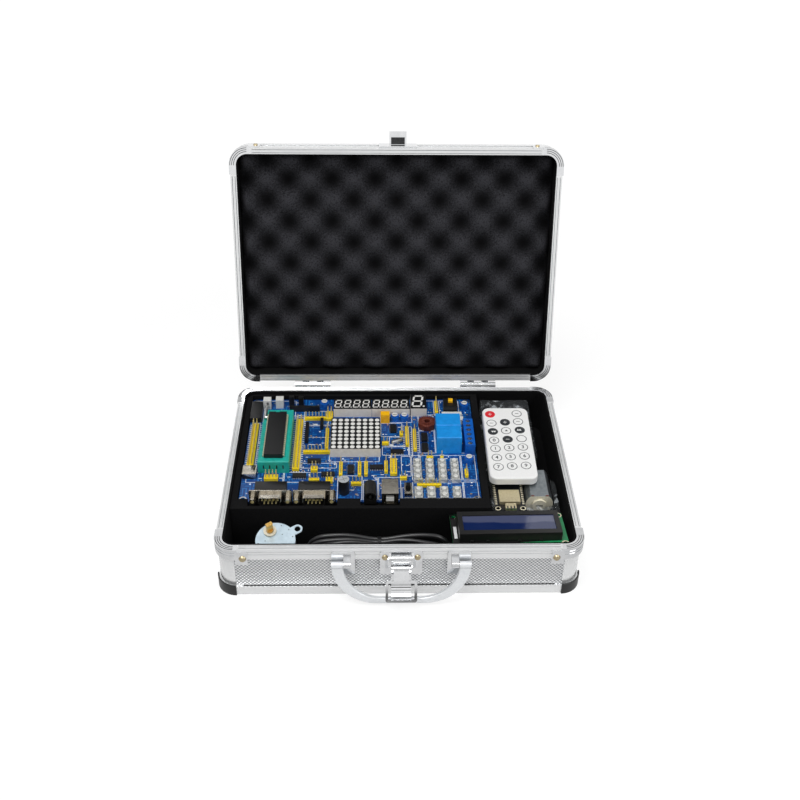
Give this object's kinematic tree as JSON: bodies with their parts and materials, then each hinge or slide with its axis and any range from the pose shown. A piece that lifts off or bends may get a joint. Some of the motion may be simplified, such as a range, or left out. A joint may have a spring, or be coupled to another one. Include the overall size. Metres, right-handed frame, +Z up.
{
  "type": "microcontroller trainer",
  "caption": "Hinged aluminium carrying case with a microcontroller training board, chip socket, displays, relays and keys, and loose motors, remote, display module and cable in foam.",
  "frame": {"origin": "centre of the case's footprint, on the surface that it stands on", "axes": "+X to the right seen from the front, +Y from the handle side to the hinge side, +Z up"},
  "size_m": [0.254, 0.2761, 0.2355],
  "materials": {
    "faced_board": "embossed diamond pattern, satin",
    "silver_rail": "bright anodised, fine grooves",
    "plated_steel": "polished plating",
    "silver_plastic": "satin silver",
    "black_plastic": "matt",
    "black_felt": "short nap",
    "dark_foam": "fine open-cell foam",
    "blue_board": "solder mask with white printing",
    "teal_plastic": "satin",
    "lever_steel": "plated",
    "chip_black": "moulded epoxy with tinned legs",
    "display_face": "black face, cream sides",
    "part_blue": "moulded plastic",
    "header_yellow": "moulded strip with plated pins",
    "switch_black": "moulded body",
    "connector_nickel": "nickel plating",
    "remote_white": "fine matt",
    "lcd_black": "black bezel on a green board",
    "motor_plate": "zinc plated",
    "shaft_brass": "turned",
    "motor_can": "pressed steel can",
    "shaft_steel": "ground",
    "black_board": "black solder mask, gold pads",
    "cable_black": "glossy cable skin",
    "clear_film": "thin clear film",
    "key_white": "moulded stem"
  },
  "bodies": {
    "case": {"case_panels": "faced_board", "case_frame": "silver_rail", "case_corners": "plated_steel", "corner_feet": "black_plastic", "case_lining": "black_felt", "foam_insert": "dark_foam", "hinge_leaves": "plated_steel", "front_fittings": "plated_steel", "usb_cable": "cable_black", "cable_plugs": "cable_black", "parts_bag": "clear_film", "dc_motor": "motor_can", "wifi_module": "black_board"},
    "lid": {"lid_shell": "faced_board", "lid_frame": "silver_rail", "lid_corners": "plated_steel", "lid_foam": "dark_foam", "lid_fittings": "plated_steel"},
    "handle": {"handle": "silver_plastic"},
    "latch_lever": {"latch_lever": "plated_steel"},
    "latch_loop": {"latch_loop": "plated_steel"},
    "main_board": {"main_board": "blue_board", "zif_socket": "teal_plastic", "led_displays": "display_face", "board_parts": "part_blue", "pin_headers": "header_yellow", "key_switches": "switch_black", "board_connectors": "connector_nickel"},
    "mcu_chip": {"mcu_chip": "chip_black"},
    "zif_lever": {"zif_lever": "lever_steel"},
    "switch_knob": {"switch_knob": "black_plastic"},
    "remote_control": {"remote_control": "remote_white"},
    "lcd_module": {"lcd_module": "lcd_black"},
    "stepper_motor": {"stepper_motor": "motor_plate"},
    "stepper_shaft": {"stepper_shaft": "shaft_brass"},
    "motor_shaft": {"motor_shaft": "shaft_steel"},
    "matrix_key_11": {"matrix_key_11": "key_white"},
    "matrix_key_12": {"matrix_key_12": "key_white"},
    "matrix_key_13": {"matrix_key_13": "key_white"},
    "matrix_key_14": {"matrix_key_14": "key_white"},
    "matrix_key_21": {"matrix_key_21": "key_white"},
    "matrix_key_22": {"matrix_key_22": "key_white"},
    "matrix_key_23": {"matrix_key_23": "key_white"},
    "matrix_key_24": {"matrix_key_24": "key_white"},
    "matrix_key_31": {"matrix_key_31": "key_white"},
    "matrix_key_32": {"matrix_key_32": "key_white"},
    "matrix_key_33": {"matrix_key_33": "key_white"},
    "matrix_key_34": {"matrix_key_34": "key_white"},
    "matrix_key_41": {"matrix_key_41": "key_white"},
    "matrix_key_42": {"matrix_key_42": "key_white"},
    "matrix_key_43": {"matrix_key_43": "key_white"},
    "matrix_key_44": {"matrix_key_44": "key_white"},
    "single_key_11": {"single_key_11": "key_white"},
    "single_key_12": {"single_key_12": "key_white"},
    "single_key_13": {"single_key_13": "key_white"},
    "single_key_14": {"single_key_14": "key_white"},
    "single_key_21": {"single_key_21": "key_white"},
    "single_key_22": {"single_key_22": "key_white"},
    "single_key_23": {"single_key_23": "key_white"},
    "single_key_24": {"single_key_24": "key_white"}
  },
  "joints": [
    {"name": "lid_hinge", "type": "hinge", "parent": "case", "child": "lid", "pos_m": [0, 0.0971, 0.043], "axis": [-1, 0, 0], "range_deg": [-104, 0]},
    {"name": "handle_swing", "type": "hinge", "parent": "case", "child": "handle", "pos_m": [0.0008, -0.098, 0.0325], "axis": [-1, 0, 0], "range_deg": [0, 90]},
    {"name": "latch_lever_swing", "type": "hinge", "parent": "case", "child": "latch_lever", "pos_m": [0.0008, -0.098, 0.0385], "axis": [-1, 0, 0], "range_deg": [0, 110]},
    {"name": "latch_loop_swing", "type": "hinge", "parent": "latch_lever", "child": "latch_loop", "pos_m": [0.0008, -0.1019, 0.033], "axis": [1, 0, 0], "range_deg": [-158, 0]},
    {"name": "main_board_lift", "type": "slide", "parent": "case", "child": "main_board", "axis": [0, 0, 1], "range_m": [0, 0.04]},
    {"name": "chip_lift", "type": "slide", "parent": "main_board", "child": "mcu_chip", "axis": [0, 0, 1], "range_m": [0, 0.03]},
    {"name": "socket_lever_swing", "type": "hinge", "parent": "main_board", "child": "zif_lever", "pos_m": [-0.1019, 0.049, 0.0462], "axis": [1, 0, 0], "range_deg": [0, 90]},
    {"name": "power_switch_slide", "type": "slide", "parent": "main_board", "child": "switch_knob", "axis": [0, -1, 0], "range_m": [0, 0.003]},
    {"name": "remote_lift", "type": "slide", "parent": "case", "child": "remote_control", "axis": [0, 0, 1], "range_m": [0, 0.04]},
    {"name": "display_module_lift", "type": "slide", "parent": "case", "child": "lcd_module", "axis": [0, 0, 1], "range_m": [0, 0.04]},
    {"name": "stepper_lift", "type": "slide", "parent": "case", "child": "stepper_motor", "axis": [0, 0, 1], "range_m": [0, 0.04]},
    {"name": "stepper_shaft_turn", "type": "hinge", "parent": "stepper_motor", "child": "stepper_shaft", "pos_m": [-0.09072, -0.06278, 0.03055], "axis": [0, -0.2588, 0.9659], "continuous": true},
    {"name": "motor_shaft_turn", "type": "hinge", "parent": "case", "child": "motor_shaft", "pos_m": [0.1025, -0.0055, 0.0302], "axis": [0, 1, 0], "continuous": true},
    {"name": "matrix_key_11_press", "type": "slide", "parent": "main_board", "child": "matrix_key_11", "axis": [0, 0, -1], "range_m": [0, 0.00025], "stiffness_N_per_m": 400},
    {"name": "matrix_key_12_press", "type": "slide", "parent": "main_board", "child": "matrix_key_12", "axis": [0, 0, -1], "range_m": [0, 0.00025], "stiffness_N_per_m": 400},
    {"name": "matrix_key_13_press", "type": "slide", "parent": "main_board", "child": "matrix_key_13", "axis": [0, 0, -1], "range_m": [0, 0.00025], "stiffness_N_per_m": 400},
    {"name": "matrix_key_14_press", "type": "slide", "parent": "main_board", "child": "matrix_key_14", "axis": [0, 0, -1], "range_m": [0, 0.00025], "stiffness_N_per_m": 400},
    {"name": "matrix_key_21_press", "type": "slide", "parent": "main_board", "child": "matrix_key_21", "axis": [0, 0, -1], "range_m": [0, 0.00025], "stiffness_N_per_m": 400},
    {"name": "matrix_key_22_press", "type": "slide", "parent": "main_board", "child": "matrix_key_22", "axis": [0, 0, -1], "range_m": [0, 0.00025], "stiffness_N_per_m": 400},
    {"name": "matrix_key_23_press", "type": "slide", "parent": "main_board", "child": "matrix_key_23", "axis": [0, 0, -1], "range_m": [0, 0.00025], "stiffness_N_per_m": 400},
    {"name": "matrix_key_24_press", "type": "slide", "parent": "main_board", "child": "matrix_key_24", "axis": [0, 0, -1], "range_m": [0, 0.00025], "stiffness_N_per_m": 400},
    {"name": "matrix_key_31_press", "type": "slide", "parent": "main_board", "child": "matrix_key_31", "axis": [0, 0, -1], "range_m": [0, 0.00025], "stiffness_N_per_m": 400},
    {"name": "matrix_key_32_press", "type": "slide", "parent": "main_board", "child": "matrix_key_32", "axis": [0, 0, -1], "range_m": [0, 0.00025], "stiffness_N_per_m": 400},
    {"name": "matrix_key_33_press", "type": "slide", "parent": "main_board", "child": "matrix_key_33", "axis": [0, 0, -1], "range_m": [0, 0.00025], "stiffness_N_per_m": 400},
    {"name": "matrix_key_34_press", "type": "slide", "parent": "main_board", "child": "matrix_key_34", "axis": [0, 0, -1], "range_m": [0, 0.00025], "stiffness_N_per_m": 400},
    {"name": "matrix_key_41_press", "type": "slide", "parent": "main_board", "child": "matrix_key_41", "axis": [0, 0, -1], "range_m": [0, 0.00025], "stiffness_N_per_m": 400},
    {"name": "matrix_key_42_press", "type": "slide", "parent": "main_board", "child": "matrix_key_42", "axis": [0, 0, -1], "range_m": [0, 0.00025], "stiffness_N_per_m": 400},
    {"name": "matrix_key_43_press", "type": "slide", "parent": "main_board", "child": "matrix_key_43", "axis": [0, 0, -1], "range_m": [0, 0.00025], "stiffness_N_per_m": 400},
    {"name": "matrix_key_44_press", "type": "slide", "parent": "main_board", "child": "matrix_key_44", "axis": [0, 0, -1], "range_m": [0, 0.00025], "stiffness_N_per_m": 400},
    {"name": "single_key_11_press", "type": "slide", "parent": "main_board", "child": "single_key_11", "axis": [0, 0, -1], "range_m": [0, 0.00025], "stiffness_N_per_m": 400},
    {"name": "single_key_12_press", "type": "slide", "parent": "main_board", "child": "single_key_12", "axis": [0, 0, -1], "range_m": [0, 0.00025], "stiffness_N_per_m": 400},
    {"name": "single_key_13_press", "type": "slide", "parent": "main_board", "child": "single_key_13", "axis": [0, 0, -1], "range_m": [0, 0.00025], "stiffness_N_per_m": 400},
    {"name": "single_key_14_press", "type": "slide", "parent": "main_board", "child": "single_key_14", "axis": [0, 0, -1], "range_m": [0, 0.00025], "stiffness_N_per_m": 400},
    {"name": "single_key_21_press", "type": "slide", "parent": "main_board", "child": "single_key_21", "axis": [0, 0, -1], "range_m": [0, 0.00025], "stiffness_N_per_m": 400},
    {"name": "single_key_22_press", "type": "slide", "parent": "main_board", "child": "single_key_22", "axis": [0, 0, -1], "range_m": [0, 0.00025], "stiffness_N_per_m": 400},
    {"name": "single_key_23_press", "type": "slide", "parent": "main_board", "child": "single_key_23", "axis": [0, 0, -1], "range_m": [0, 0.00025], "stiffness_N_per_m": 400},
    {"name": "single_key_24_press", "type": "slide", "parent": "main_board", "child": "single_key_24", "axis": [0, 0, -1], "range_m": [0, 0.00025], "stiffness_N_per_m": 400}
  ]
}
